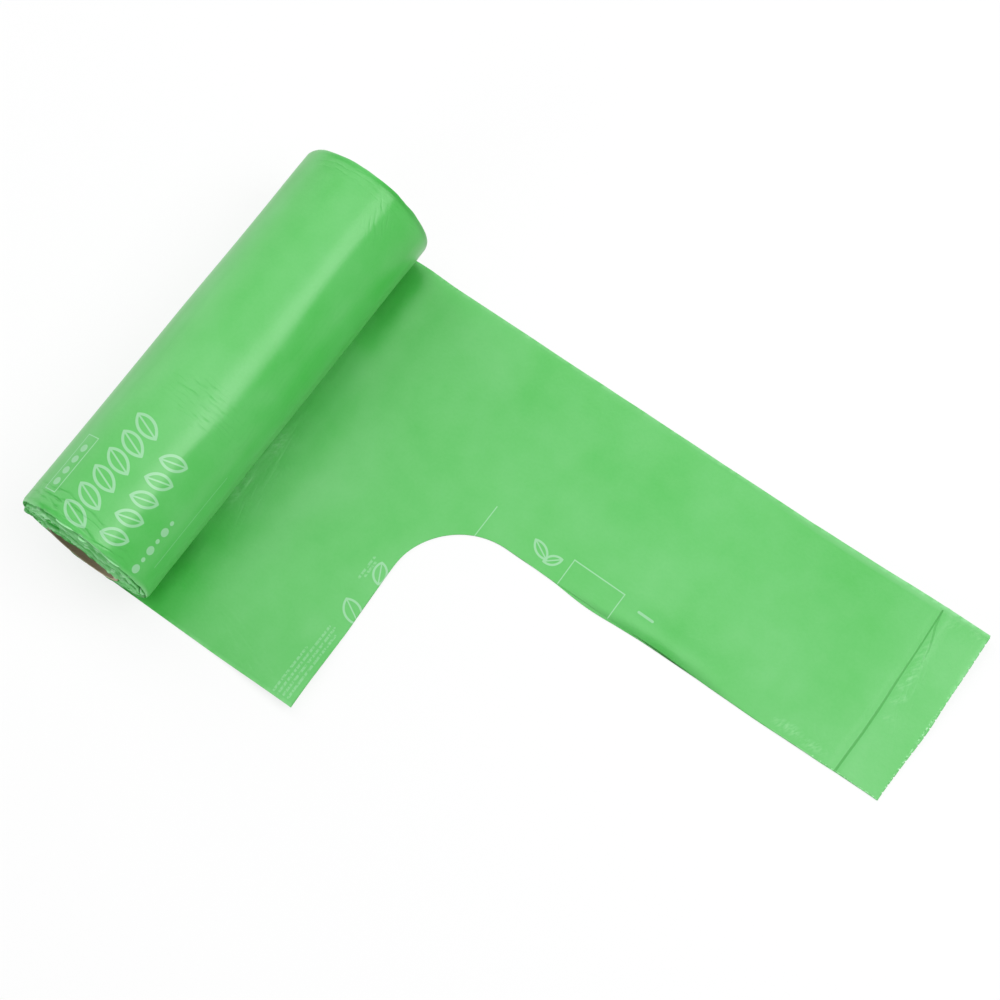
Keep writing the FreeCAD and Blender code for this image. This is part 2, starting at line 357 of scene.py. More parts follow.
corner = corner_points(roll.data)
sides = np.empty(len(roll.data.polygons), dtype=np.int32)
roll.data.polygons.foreach_get("loop_total", sides)
face_of_corner = np.repeat(np.arange(len(sides)), sides)
face_sin = np.bincount(face_of_corner, np.sin(angle)[corner])
face_cos = np.bincount(face_of_corner, np.cos(angle)[corner])
face_angle = np.arctan2(face_sin, face_cos)[face_of_corner]
off_face = (angle[corner] - face_angle + math.pi) % (2 * math.pi) - math.pi
round_the_roll = (face_angle + off_face) * ROLL_R
lift_off = np.where(on_end, ROLL_R - radius, 0)[corner] * np.sign(y[corner])
map_film(roll, np.column_stack([round_the_roll, y[corner] + lift_off]))
print("map from", round(round_the_roll.min() / MM, 1), "to",
      round(round_the_roll.max() / MM, 1), "mm round the roll")

# %% [markdown]
# ### Loose lips of film at the ends
#
# A few inner turns stand out of the ends by a millimetre or two, and lean over each
# other and over the rim of the tube. Each is a strip of grid that is laid round the
# axis, with its free edge waved, and given the film's thickness. Its root is inside the
# roll. The strips are then joined to the turns, because they are the same film.
# %% Make one lip
ROOT = 1.6      # how far a lip starts inside the roll, in mm


def film_lip(end, start, stop, base_r, reach, lean, light, seed):
    """A strip of film round the axis between two angles in degrees. Sizes in millimetres."""
    start_fresh()
    steps = max(12, int(abs(stop - start) * 0.9))
    bpy.ops.mesh.primitive_grid_add(x_subdivisions=steps, y_subdivisions=7, size=1)
    lip = keep_as("film_lip")
    grid = points_of(lip.data)
    u = grid[:, 0] + 0.5
    v = grid[:, 1] + 0.5
    turned = np.radians(start + (stop - start) * u)
    line = np.column_stack([u * 0, turned * base_r, v * 0])
    fade = np.clip(np.sin(math.pi * np.clip(u, 0.001, 0.999)), 0, 1) ** 0.45
    uneven = 0.30 * soft_noise(line, 5.5, seed) + 0.10 * soft_noise(line, 2.2, seed + 1)
    edge_out = reach * fade * (0.85 + uneven)
    out = -ROOT + v * (ROOT + edge_out)
    wave = soft_noise(line, 4.5, seed + 2) * 0.5 + soft_noise(line, 1.8, seed + 3) * 0.15
    r = (base_r + lean * v ** 2 * fade + wave * v * fade) * MM
    lip_y = end * (HALF_W + out * MM)
    around = np.column_stack([r * np.sin(turned), lip_y, AXIS_Z + r * np.cos(turned)])
    move_points(lip.data, around)
    bpy.ops.object.mode_set(mode="EDIT")
    bpy.ops.mesh.select_all(action="SELECT")
    bpy.ops.mesh.normals_make_consistent(inside=False)
    bpy.ops.object.mode_set(mode="OBJECT")
    edge_light = 0.42 + 0.12 * v + (light - 0.44) * ease((v - 0.6) / 0.4)
    set_tone(lip, edge_light + 0.16 * soft_noise(line, 2.2, seed + 4) * v)
    along_end = np.column_stack([turned * base_r * MM, lip_y + end * 0.03])
    map_film(lip, along_end[corner_points(lip.data)])
    apply_modifier(lip, "SOLIDIFY", thickness=0.12 * MM, offset=0)
    return lip


# %% [markdown]
# The table of lips was read off the picture in kind and number: long calm ones deep
# inside, and short bright ones by the rim, which are the tips of folded film.
# %% Place the lips and join them to the turns
# end, first angle, last angle, radius, how far out, lean, edge lightness
LIPS = [
    (-1, -84, 78, 14.45, 2.9, -0.9, 0.52),
    (-1, -62, 34, 15.4, 2.6, -0.7, 0.58),
    (-1, 4, 84, 16.2, 2.4, -0.8, 0.52),
    (-1, -96, -18, 17.4, 2.1, 0.5, 0.60),
    (-1, -28, 64, 18.8, 2.1, -0.6, 0.56),
    (-1, -80, 8, 20.6, 1.8, 0.4, 0.52),
    (-1, 14, 98, 21.3, 1.7, -0.5, 0.60),
    (-1, -102, -52, 22.6, 1.5, 0.3, 0.78),
    (-1, 52, 104, 23.1, 1.5, 0.3, 0.70),
    (-1, -13, 5, 24.5, 0.9, 0.25, 0.95),
    (-1, 27, 47, 24.5, 0.8, 0.25, 0.85),
    (-1, 104, 176, 16.5, 0.7, 0.3, 0.52),
    (-1, 128, 200, 20.4, 0.4, 0.2, 0.52),
    (-1, 98, 262, 14.5, 1.8, 0.0, 0.50),
    (-1, -101, -84, 23.9, 1.3, 0.3, 0.95),
    (-1, -74, -62, 22.9, 1.6, 0.4, 0.90),
    (-1, -42, -28, 21.8, 1.8, 0.4, 0.86),
    (-1, 8, 17, 23.6, 1.2, 0.2, 0.88),
    (-1, 32, 45, 20.6, 2.0, 0.5, 0.88),
    (-1, 58, 72, 22.6, 1.7, 0.5, 0.95),
    (-1, 80, 93, 23.8, 1.3, 0.3, 0.98),
    (1, -70, 60, 15.2, -0.6, -0.3, 0.56),
    (1, 20, 150, 18.0, -0.2, 0.4, 0.60),
    (1, -120, -10, 20.2, 0.2, -0.4, 0.56),
    (1, 150, 250, 21.8, 0.3, 0.3, 0.56),
    (1, -30, 70, 23.2, 0.6, 0.2, 0.62),
]
lips = [film_lip(*row, seed=70 + 5 * i) for i, row in enumerate(LIPS)]
start_fresh()
for lip in lips:
    lip.select_set(True)
roll.select_set(True)
bpy.context.view_layer.objects.active = roll
bpy.ops.object.join()
bpy.ops.object.shade_smooth_by_angle(angle=math.radians(50))
print("turns with", len(lips), "lips:", len(roll.data.polygons), "faces")

# %% [markdown]
# ## The first bag
#
# The loose bag is a stack of folded film. Two thin panels stand for it, an upper and a
# lower one, because their edges never match and that double edge is what one sees. Each
# is a fine grid with a thickness. A block with one rounded edge cuts the mouth away, and
# a row of small wedges cuts the nicks of the perforation.
# %% Helpers for the panels
PANEL_T = 0.17 * MM
NICK_PITCH = 3.3 * MM
PANEL_CELLS = (184, 110)


def cut_with(piece, tool):
    start_fresh()
    apply_modifier(piece, "BOOLEAN", object=tool, operation="DIFFERENCE", solver="EXACT")
    bpy.data.objects.remove(tool)


def mouth_block(inner_y):
    """The block that the mouth is cut with. Its edge towards the roll is rounded."""
    start_fresh()
    far_x = TEAR_X + 20 * MM
    low_y = -HALF_W - 20 * MM
    bpy.ops.mesh.primitive_cube_add(
        size=1, location=((MOUTH_X + far_x) / 2, (inner_y + low_y) / 2, 0))
    bpy.context.object.scale = (far_x - MOUTH_X, inner_y - low_y, 20 * MM)
    block = keep_as("mouth_block")
    pick_points(block, lambda p: abs(p.x - MOUTH_X) < MM and abs(p.y - inner_y) < MM)
    bpy.ops.mesh.select_mode(type="EDGE")
    bpy.ops.mesh.bevel(offset=CORNER_R, segments=28, affect="EDGES")
    bpy.ops.object.mode_set(mode="OBJECT")
    return block


def nick_row(depth, shift):
    """A row of wedges along the torn end."""
    start_fresh()
    bpy.ops.mesh.primitive_cube_add(
        size=depth * math.sqrt(2), location=(TEAR_X + 0.15 * MM, INNER_Y + 2 * MM + shift, 0),
        rotation=(0, 0, math.pi / 4))
    row = keep_as("nick_row")
    apply_modifier(row, "ARRAY", count=20, use_relative_offset=False, use_constant_offset=True,
                   constant_offset_displace=(0, NICK_PITCH, 0))
    return row


# %% Make the two panels
def panel(name, middle_z, inner_y, nick_depth, nick_shift):
    """A flat panel of film with its mouth and its nicks cut, not yet lifted or creased."""
    start_fresh()
    bpy.ops.mesh.primitive_grid_add(
        x_subdivisions=PANEL_CELLS[0], y_subdivisions=PANEL_CELLS[1], size=1,
        location=((START_X + TEAR_X) / 2, 0, middle_z))
    bpy.context.object.scale = (TEAR_X - START_X, 2 * HALF_W, 1)
    piece = keep_as(name)
    grid = points_of(piece.data)
    # finer cells near the roll, where the film buckles
    even = (grid[:, 0] - START_X) / (TEAR_X - START_X)
    grid[:, 0] = np.interp(even, [0, 0.05, 0.27, 1], [START_X, 12 * MM, 38 * MM, TEAR_X])
    move_points(piece.data, grid)
    apply_modifier(piece, "SOLIDIFY", thickness=PANEL_T, offset=0)
    cut_with(piece, mouth_block(inner_y))
    cut_with(piece, nick_row(nick_depth, nick_shift))
    print(name, "faces:", len(piece.data.polygons))
    return piece


upper = panel("bag_upper_panel", TAIL_T - PANEL_T / 2, INNER_Y, 0.55 * MM, 0.0)
lower = panel("bag_lower_panel", PANEL_T / 2 + 0.01 * MM, INNER_Y - 0.05 * MM, 0.50 * MM,
              1.1 * MM)

# %% [markdown]
# ### How the bag lies
#
# The film is nearly flat, with its two free corners lifted a little, a low hump where
# the handle's inner edge curls under, and small buckles where it comes out from under
# the roll. These are the heights of the CAD model's sheet, with finer ones added.
# %% Heights of the loose film
PLEAT_HEIGHT = 0.30             # mm
WELD_DEPTH = 0.16               # mm


def rise(x, y):
    """Height of the film off the floor at x and y, in millimetres, as in the CAD model."""
    tear = 3.6 * ease((x - 174) / 75) * ease((y - 9) / 66)
    mouth = 4.0 * ease((x - 44) / 34) * ease((-y - 41) / 34)
    along = np.sin(math.pi * np.clip((x - 122) / 80, 0, 1)) ** 2
    across = np.sin(math.pi * np.clip((y - 9) / 14, 0, 1) ** 0.6) ** 2
    return tear + mouth + 0.7 * along * across


def buckles(x, y):
    """Small standing folds along the roll, in millimetres."""
    flat = on_floor(x, y)
    fold = 1 - np.abs(soft_noise(flat * np.array([1.0, 0.40, 1.0]), 4.4, 31)) * 2.4
    crease = 1 - np.abs(soft_noise(flat * np.array([1.0, 0.55, 1.0]), 2.0, 33)) * 2.6
    zone = bump(x, 18, 9) * (0.3 + 0.7 * bump(y, -16, 30))
    folds = (0.30 * np.clip(fold, 0, 1) + 0.16 * np.clip(crease, 0, 1)) * zone
    return folds + 1.3 * bump(x, 24, 13) * bump(y, 75, 60)


def waves(x, y):
    """Broad, very low waves that only the light shows, in millimetres."""
    flat = on_floor(x, y)
    free = ease((x - 26) / 30)
    wide = soft_noise(flat * np.array([0.6, 1.0, 1.0]), 24.0, 41)
    small = soft_noise(flat, 8.0, 43)
    return (0.18 * (wide + 0.8) + 0.03 * (small + 0.8)) * free


def pleat(x, y):
    """The small gathered fold that runs off the weld at the handle's outer edge."""
    reach = ease((y - 44) / 18)
    centre = 232.9 + 2.4 * (75 - y) / 25
    return PLEAT_HEIGHT * bump(x, centre, 2.0) * reach


def weld(x):
    """The pressed line of the weld."""
    return WELD_DEPTH * bump(x, SEAL_X / MM, 1.3)


print("highest point of the mouth's corner:", round(float(rise(78.0, -75.0)), 2), "mm")

# %% [markdown]
# The film's edges are not straight either. They are drawn in along the handle, skewed at
# the mouth and the torn end, and wobble by a few tenths of a millimetre. The lower panel
# looks out from under the upper one beside the handle's rounded corner.
# %% Lay one panel
def lay(piece, is_upper):
    """Move a panel's points to where the film lies. The places come back in millimetres."""
    points = points_of(piece.data)
    x = points[:, 0] / MM
    y = points[:, 1] / MM
    inner = bump(y, INNER_Y / MM, 7)
    in_handle = ease((x - 106) / 8)
    height = waves(x, y) + buckles(x, y)
    if is_upper:
        shift = 0.5 * bump(x, 166, 26) * inner * in_handle
        height += rise(x, y) + pleat(x, y) - weld(x)
    else:
        shift = (-1.15 * bump(x, 138, 20) + 0.2 * bump(x, 170, 24)) * inner * in_handle
        height += rise(x, y) * 0.96
    wobble = soft_noise(on_floor(x, y), 15.0, 51 if is_upper else 57)
    outer = ease((y - 69) / 6) * ease((x - 30) / 30) * (0.6 if is_upper else 1.0)
    y = y + shift + wobble * 0.22 * (inner * in_handle + outer)
    corner = ease((x - 200) / 49)
    y = y + 0.7 * corner * bump(y, INNER_Y / MM, 12)
    x = x - 1.1 * corner * ease((40 - y) / 31)
    mouth_skew = np.interp(y, [-75, -20], [1.5, -0.5])
    x = x + mouth_skew * bump(x, MOUTH_X / MM, 30) * ease((10 - y) / 26)
    mouth_edge = bump(x, MOUTH_X / MM, 5) * ease((-y - 4) / 14)
    tear_edge = bump(x, TEAR_X / MM, 6)
    x = x + wobble * 0.3 * (mouth_edge + tear_edge) + (0.0 if is_upper else 0.25) * tear_edge
    move_points(piece.data, np.column_stack([x * MM, y * MM, points[:, 2] + height * MM]))
    return x, y


# %% Tones of the loose film
CURL_AT = [124, 134, 144, 153, 164, 178, 190, 197]
CURL_WIDTH = [0.5, 1.2, 2.4, 4.2, 4.6, 4.2, 2.0, 0.5]


def edge_flecks(x, y):
    """Pale and dark flecks along the edges, where the film is torn or folded."""
    at_edge = np.maximum.reduce([
        bump(x, TEAR_X / MM, 0.9) * 0.4,
        bump(y, HALF_W / MM, 0.9) * (0.4 + 0.4 * ease((x - 200) / 30)),
        bump(y, INNER_Y / MM, 0.9) * ease((x - 195) / 20) * 0.5,
        bump(y, -HALF_W / MM, 0.9) * 0.3,
    ])
    return at_edge * (0.18 + 0.4 * soft_noise(on_floor(x, y), 1.3, 61))


def curled_strip_shade(x, y):
    """1 where the handle's inner edge curls under and gets painted shade, deep green, else 0."""
    width = np.interp(x, CURL_AT, CURL_WIDTH)
    return ease(1 - (y - 9) / width) * ease((x - 124) / 14) * ease((198 - x) / 16)


def shade_and_light_beside_roll(x, y):
    """Painted shade in the gap beside the roll, deep green near its ends, and a little painted
    light along its middle.
    """
    middle = 0.05 * ease((34 - x) / 7) * ease((46 - np.abs(y)) / 18)
    near = 0.24 * ease((25 - x) / 7) * ease((-y - 42) / 10) * ease((y + 75) / 4)
    far = 0.12 * ease((31 - x) / 9) * ease((y - 36) / 20)
    return middle - near - far


# %% Lay the two panels
for piece, is_upper, curl_shade in ((upper, True, 0.18), (lower, False, 0.10)):
    x, y = lay(piece, is_upper)
    # painted shade on the curled inner edge of the handle
    tone = 0.5 + edge_flecks(x, y) - curl_shade * curled_strip_shade(x, y)
    # a painted highlight along the outer fold and painted shade just inside it, stronger towards
    # the torn end
    tone += 0.07 * bump(y, 74.4, 1.2) - 0.10 * bump(y, 73.3, 0.7) * ease((x - 120) / 60)
    # painted shade: the film a little darker towards the torn end, where it reflects less light
    tone += shade_and_light_beside_roll(x, y) - 0.02 * ease((x - 150) / 60)
    set_tone(piece, tone)
    map_film(piece, np.column_stack([x, y])[corner_points(piece.data)] * MM)
    start_fresh()
    piece.select_set(True)
    bpy.context.view_layer.objects.active = piece
    bpy.ops.object.shade_smooth_by_angle(angle=math.radians(40))
    print(piece.name, "tones from", round(tone.min(), 2), "to", round(tone.max(), 2))

# %% [markdown]
# ## Node helpers
#
# Materials are built from nodes in code. Small helpers keep that short: they add a node,
# fill its sockets with values or links, and hand back the output that is wanted.
# %% Helpers for nodes
def feed(tree, socket, value):
    if isinstance(value, bpy.types.NodeSocket):
        tree.links.new(value, socket)
    else:
        socket.default_value = value


def add_node(tree, kind, sockets, **settings):
    """Add a node, set it up, fill its sockets by name or number, and return its outputs."""
    node = tree.nodes.new("ShaderNode" + kind)
    for key, value in settings.items():
        setattr(node, key, value)
    for key, value in sockets.items():
        feed(tree, node.inputs[key], value)
    return node.outputs


def maths(tree, operation, *values, clamp=False):
    sockets = dict(enumerate(values))
    return add_node(tree, "Math", sockets, operation=operation, use_clamp=clamp)[0]


def arrows(tree, operation, *values):
    """Maths on vectors. Some of it gives a number."""
    outputs = add_node(tree, "VectorMath", dict(enumerate(values)), operation=operation)
    return outputs["Value" if operation in ("LENGTH", "DISTANCE", "DOT_PRODUCT") else 0]


def blend(tree, share, first, second):
    sockets = {"Factor": share, "A": first, "B": second}
    return add_node(tree, "Mix", sockets, data_type="RGBA")["Result"]


# %% Helpers for points, noise and sums
def parts_of(tree, vector):
    return add_node(tree, "SeparateXYZ", {0: vector})


def point_from(tree, x, y, z=0.0):
    return add_node(tree, "CombineXYZ", {0: x, 1: y, 2: z})[0]


def turned_by(tree, vector, angle):
    sockets = {"Vector": vector, "Angle": angle}
    return add_node(tree, "VectorRotate", sockets, rotation_type="Z_AXIS")[0]


def noise_on(tree, vector, stretch=None, scale=1.0, detail=2.0):
    if stretch:
        vector = arrows(tree, "MULTIPLY", vector, stretch)
    return add_node(tree, "TexNoise", {"Vector": vector, "Scale": scale, "Detail": detail})["Fac"]


def chained(tree, operation, values):
    """The same maths with one value after another: a long sum, product or maximum."""
    result = values[0]
    for value in values[1:]:
        result = maths(tree, operation, result, value)
    return result


def weighted(tree, *pairs):
    """The sum of masks, each times its weight."""
    return chained(tree, "ADD", [maths(tree, "MULTIPLY", *pair) for pair in pairs])


# %% [markdown]
# ### Node groups
#
# A node group is a tool of its own with named inputs, built once and placed wherever it
# is needed. An input is given here as the name of its kind, or as a number to start from.
# %% Helpers for node groups
def new_group(name, inputs, outputs={"Mask": "Float"}):
    group = bpy.data.node_groups.new(name, "ShaderNodeTree")
    for label, start in inputs.items():
        kind = "NodeSocket" + (start if isinstance(start, str) else "Float")
        socket = group.interface.new_socket(name=label, in_out="INPUT", socket_type=kind)
        if not isinstance(start, str):
            socket.default_value = start
    for label, kind in outputs.items():
        group.interface.new_socket(name=label, in_out="OUTPUT", socket_type="NodeSocket" + kind)
    given = group.nodes.new("NodeGroupInput").outputs
    out = group.nodes.new("NodeGroupOutput").inputs
    return group, given, out


def use_group(tree, group, **values):
    return add_node(tree, "Group", values, node_tree=group)


# %% [markdown]
# ## Print marks
#
# The bag carries a pale one-colour print. Here it is made of plain shapes: bars, rings
# and leaves. Each shape is a small group that measures how far a point of the map lies
# from the shape, and turns that into a mask with a slightly soft edge, as ink on film has.
# %% Groups for a bar and a ring
INK_EDGE = 0.125       # mm over which the ink fades out


def half(tree, value):
    return maths(tree, "MULTIPLY", value, 0.5)


def inked(tree, distance, half_width):
    """1 within half a line's width and 0 outside."""
    inside = maths(tree, "SUBTRACT", half_width, distance)
    return maths(tree, "MULTIPLY_ADD", inside, 1 / INK_EDGE, 0.5, clamp=True)


bar_group, given, out = new_group(
    "print bar", {"Point": "Vector", "Start": "Vector", "End": "Vector", "Width": 1.0})
tree = bar_group
from_start = arrows(tree, "SUBTRACT", given["Point"], given["Start"])
whole = arrows(tree, "SUBTRACT", given["End"], given["Start"])
reach = maths(tree, "DIVIDE", arrows(tree, "DOT_PRODUCT", from_start, whole),
              arrows(tree, "DOT_PRODUCT", whole, whole), clamp=True)
nearest = add_node(tree, "VectorMath", {0: whole, "Scale": reach}, operation="SCALE")[0]
off = arrows(tree, "DISTANCE", from_start, nearest)
feed(tree, out["Mask"], inked(tree, off, half(tree, given["Width"])))

ring_group, given, out = new_group(
    "print ring", {"Point": "Vector", "Centre": "Vector", "Radius": 3.0, "Width": 1.0})
tree = ring_group
from_centre = arrows(tree, "DISTANCE", given["Point"], given["Centre"])
off = maths(tree, "ABSOLUTE", maths(tree, "SUBTRACT", from_centre, given["Radius"]))
feed(tree, out["Mask"], inked(tree, off, half(tree, given["Width"])))
print("groups:", bar_group.name, "and", ring_group.name)

# %% [markdown]
# A leaf is where two circles overlap, drawn as an outline with a thinner vein. Both arcs
# are one when the point's distance to the vein is taken without its sign.
# %% Group for a leaf
VEIN_SHARE = 0.6       # the vein's width as a share of the outline's

leaf_group, given, out = new_group(
    "print leaf", {"Point": "Vector", "Centre": "Vector", "Turn": 0.0, "Length": 9.0,
                   "Width": 4.0, "Line": 0.8})
tree = leaf_group
from_centre = arrows(tree, "SUBTRACT", given["Point"], given["Centre"])
place_in_leaf = parts_of(tree, turned_by(tree, from_centre, given["Turn"]))
side = maths(tree, "ABSOLUTE", place_in_leaf["Y"])
square = maths(tree, "ADD", maths(tree, "POWER", given["Length"], 2.0),
               maths(tree, "POWER", given["Width"], 2.0))
arc_r = maths(tree, "DIVIDE", square, maths(tree, "MULTIPLY", given["Width"], 4.0))
drop = maths(tree, "SUBTRACT", arc_r, half(tree, given["Width"]))
from_arc = point_from(tree, place_in_leaf["X"], maths(tree, "ADD", side, drop))
rim = maths(tree, "SUBTRACT", arrows(tree, "LENGTH", from_arc), arc_r)
half_line = half(tree, given["Line"])
outline = inked(tree, maths(tree, "ABSOLUTE", rim), half_line)
vein = maths(tree, "MULTIPLY",
             inked(tree, side, maths(tree, "MULTIPLY", half_line, VEIN_SHARE)),
             maths(tree, "LESS_THAN", rim, 0.0))
feed(tree, out["Mask"], maths(tree, "MAXIMUM", outline, vein))
print("group:", leaf_group.name)

# %% [markdown]
# ## Soft marks
#
# Two more groups serve the film itself. One is a soft-edged oval, for a hazy patch or a
# faint crease. The other is a patch of fine parallel creases, as film gets where it was
# pulled askew over the roll.
# %% Groups for a soft oval and a patch of fine creases
def oval_reach(tree, given):
    """How far a point is from the oval's centre, 1 on the oval, and the turned point."""
    from_centre = arrows(tree, "SUBTRACT", given["Point"], given["Centre"])
    point = turned_by(tree, from_centre, given["Turn"])
    size = point_from(tree, half(tree, given["Length"]), half(tree, given["Width"]), 1.0)
    return arrows(tree, "LENGTH", arrows(tree, "DIVIDE", point, size)), point


OVAL = {"Point": "Vector", "Centre": "Vector", "Turn": 0.0, "Length": 10.0, "Width": 5.0}
oval_group, given, out = new_group("soft oval", OVAL)
tree = oval_group
reach, point = oval_reach(tree, given)
inside = maths(tree, "SUBTRACT", 1.0, reach, clamp=True)
feed(tree, out["Mask"], maths(tree, "SMOOTH_MIN", inside, 0.8, 0.3))

crease_group, given, out = new_group("fine creases", {**OVAL, "Pitch": 1.6, "Seed": 0.0})
tree = crease_group
reach, point = oval_reach(tree, given)
wander = maths(tree, "MULTIPLY", noise_on(tree, point, (0.10, 0.22, 1.0)), 2.4)
step = maths(tree, "DIVIDE", parts_of(tree, point)["Y"], given["Pitch"])
phase = chained(tree, "ADD", [step, wander, given["Seed"]])
wave = maths(tree, "COSINE", maths(tree, "MULTIPLY", phase, math.pi))
line = maths(tree, "POWER", maths(tree, "ABSOLUTE", wave), 5.0)
broken = noise_on(tree, point, (0.16, 0.6, 1.0))
shown = maths(tree, "MULTIPLY_ADD", broken, 4.0, -1.5, clamp=True)
inside = maths(tree, "SUBTRACT", 1.0, reach, clamp=True)
inside = maths(tree, "MULTIPLY", inside, 2.0, clamp=True)
feed(tree, out["Mask"], chained(tree, "MULTIPLY", [line, shown, inside]))
print("groups:", oval_group.name, "and", crease_group.name)

# %% [markdown]
# Short helpers place these groups. Each takes the map and a shape's own numbers, which
# are millimetres on the map and a turn in radians.
# %% Helpers that place one mark
def bar(tree, point, start, end, width):
    return use_group(tree, bar_group, Point=point, Start=(*start, 0), End=(*end, 0),
                     Width=width)["Mask"]


def ring(tree, point, centre, radius, width):
    return use_group(tree, ring_group, Point=point, Centre=(*centre, 0), Radius=radius,
                     Width=width)["Mask"]


def leaf(tree, point, centre, turn, length, width, line):
    return use_group(tree, leaf_group, Point=point, Centre=(*centre, 0), Turn=turn,
                     Length=length, Width=width, Line=line)["Mask"]


def oval(tree, point, centre, turn, length, width):
    return use_group(tree, oval_group, Point=point, Centre=(*centre, 0), Turn=turn,
                     Length=length, Width=width)["Mask"]


def creases(tree, point, centre, turn, length, width, pitch, seed):
    return use_group(tree, crease_group, Point=point, Centre=(*centre, 0), Turn=turn,
                     Length=length, Width=width, Pitch=pitch, Seed=seed)["Mask"]


def any_of(tree, masks):
    return chained(tree, "MAXIMUM", masks)


# %% [markdown]
# ## The film's surface
#
# Thin film is a little uneven in haze and gloss. This group turns the map into a green that is
# hazier in soft patches, a roughness that changes slowly, and a height for fine ripples: small
# dents, and faint streaks along the way the film was drawn. The tone that the meshes store makes
# cut edges pale, and paints shade into the gaps between the turns, the crevice beside the roll
# and the curled edge.
# %% Group for plain film
LEAST_ROUGH = 0.28
ROUGH_SPAN = 0.08

film_group, given, out = new_group(
    "film surface", {"Map": "Vector", "Tone": 0.5, "Haze": 0.0, "Plain": "Color",
                     "Dark": "Color", "Light": "Color", "Streaks": 0.2},
    {"Colour": "Color", "Roughness": "Float", "Height": "Float"})
tree = film_group
broad = noise_on(tree, given["Map"], (1.0, 0.7, 1.0), scale=0.035)
patchy = noise_on(tree, given["Map"], scale=0.13, detail=3.0)
fine = noise_on(tree, given["Map"], scale=0.9)
drawn = noise_on(tree, given["Map"], (1.0, 0.05, 1.0), scale=1.3)
# on average 0.12 from the broad lumps; the finer ones add as much as they take away
haze = chained(tree, "ADD", [
    maths(tree, "MULTIPLY_ADD", broad, 0.34, -0.05),
    maths(tree, "MULTIPLY_ADD", patchy, 0.12, -0.06),
    maths(tree, "MULTIPLY_ADD", fine, 0.05, -0.025),
    given["Haze"],
])
shift = maths(tree, "SUBTRACT", given["Tone"], 0.5)
darker = maths(tree, "MULTIPLY", shift, -2.0, clamp=True)
lighter = maths(tree, "MAXIMUM", maths(tree, "MULTIPLY", shift, 2.0), 0.0)
lighter = maths(tree, "ADD", lighter, haze, clamp=True)
pale_green = blend(tree, lighter, given["Plain"], given["Light"])
feed(tree, out["Colour"], blend(tree, darker, pale_green, given["Dark"]))
feed(tree, out["Roughness"], maths(tree, "MULTIPLY_ADD", patchy, ROUGH_SPAN, LEAST_ROUGH))
feed(tree, out["Height"], weighted(tree, (patchy, 0.30), (fine, 0.10), (drawn, given["Streaks"])))
print("group:", film_group.name)

# %% [markdown]
# ### How a film material is put together
#
# The roll and the loose bag are the same film, printed with different parts of the same
# design. Each material reads the piece's map and tone, adds its own creases, places the
# film group and lays the ink over its colour. The map is in metres, and is turned into
# millimetres first, so that sizes read easily.
# %% Build a film material
FILM_PLAIN = (0.044, 0.462, 0.050, 1)
# mixed in for the weld's dark line and for painted shade in gaps, crevices and creases
FILM_DARK = (0.006, 0.215, 0.010, 1)
FILM_LIGHT = (0.360, 0.750, 0.390, 1)
INK = (0.310, 0.630, 0.360, 1)
INK_COVER = 0.78                # the film shows through the ink a little
FILM_SHINE = 0.57               # a plain smooth plastic has 0.5


def film_material(name, draw_print, draw_creases, streaks, shine=FILM_SHINE):
    material = bpy.data.materials.new(name)
    material.use_nodes = True
    tree = material.node_tree
    shader = tree.nodes["Principled BSDF"].inputs
    in_metres = add_node(tree, "UVMap", {}, uv_map="film_map")[0]
    point = arrows(tree, "MULTIPLY", in_metres, (1000.0, 1000.0, 0.0))
    tone = add_node(tree, "Attribute", {}, attribute_name="tone")["Fac"]
    height, dark, haze = draw_creases(tree, point)
    film = use_group(tree, film_group, Map=point, Tone=maths(tree, "SUBTRACT", tone, dark),
                     Haze=haze, Plain=FILM_PLAIN, Dark=FILM_DARK, Light=FILM_LIGHT,
                     Streaks=streaks)
    mask = maths(tree, "MULTIPLY", draw_print(tree, point), INK_COVER)
    feed(tree, shader["Base Color"], blend(tree, mask, film["Colour"], INK))
    feed(tree, shader["Roughness"], film["Roughness"])
    total = maths(tree, "ADD", film["Height"], height)
    relief = add_node(tree, "Bump", {"Strength": 0.5, "Distance": 0.5 * MM, "Height": total})
    feed(tree, shader["Normal"], relief[0])
    shader["IOR"].default_value = 1.5
    shader["Specular IOR Level"].default_value = shine
    print("material:", name, "with", len(tree.nodes), "nodes")
    return material


# %% [markdown]
# ### Print and creases on the roll
#
# Near the open end the roll shows two rows of leaves, a row of dots and a small framed
# mark. Each row of leaves repeats one shape along the roll, by wrapping the map's height.
# Fine slanting creases lie on the crest, and long ones follow the rims. Their dark lines are
# painted shade.
# %% Print on the roll
DOTS = [(-72.0, 1.5), (-68.4, 0.8), (-64.8, 1.5), (-61.2, 0.8), (-57.6, 1.5), (-54.0, 0.8)]
FRAME = [(-17.6, -68.5), (-12.2, -68.5), (-12.2, -47.0), (-17.6, -47.0)]
FRAMED_DOTS = [-65.0, -60.6, -56.2, -51.8]


def row_of_leaves(tree, point, across, first, last, pitch, turn, length, width, line):
    """One leaf repeated along the roll between two heights of the map."""
    on_map = parts_of(tree, point)
    wrapped = maths(tree, "WRAP", on_map["Y"], first + pitch, first)
    leaves = leaf(tree, point_from(tree, on_map["X"], wrapped), (across, first + pitch / 2),
                  turn, length, width, line)
    within = maths(tree, "MULTIPLY", maths(tree, "GREATER_THAN", on_map["Y"], first),
                   maths(tree, "LESS_THAN", on_map["Y"], last))
    return maths(tree, "MULTIPLY", leaves, within)


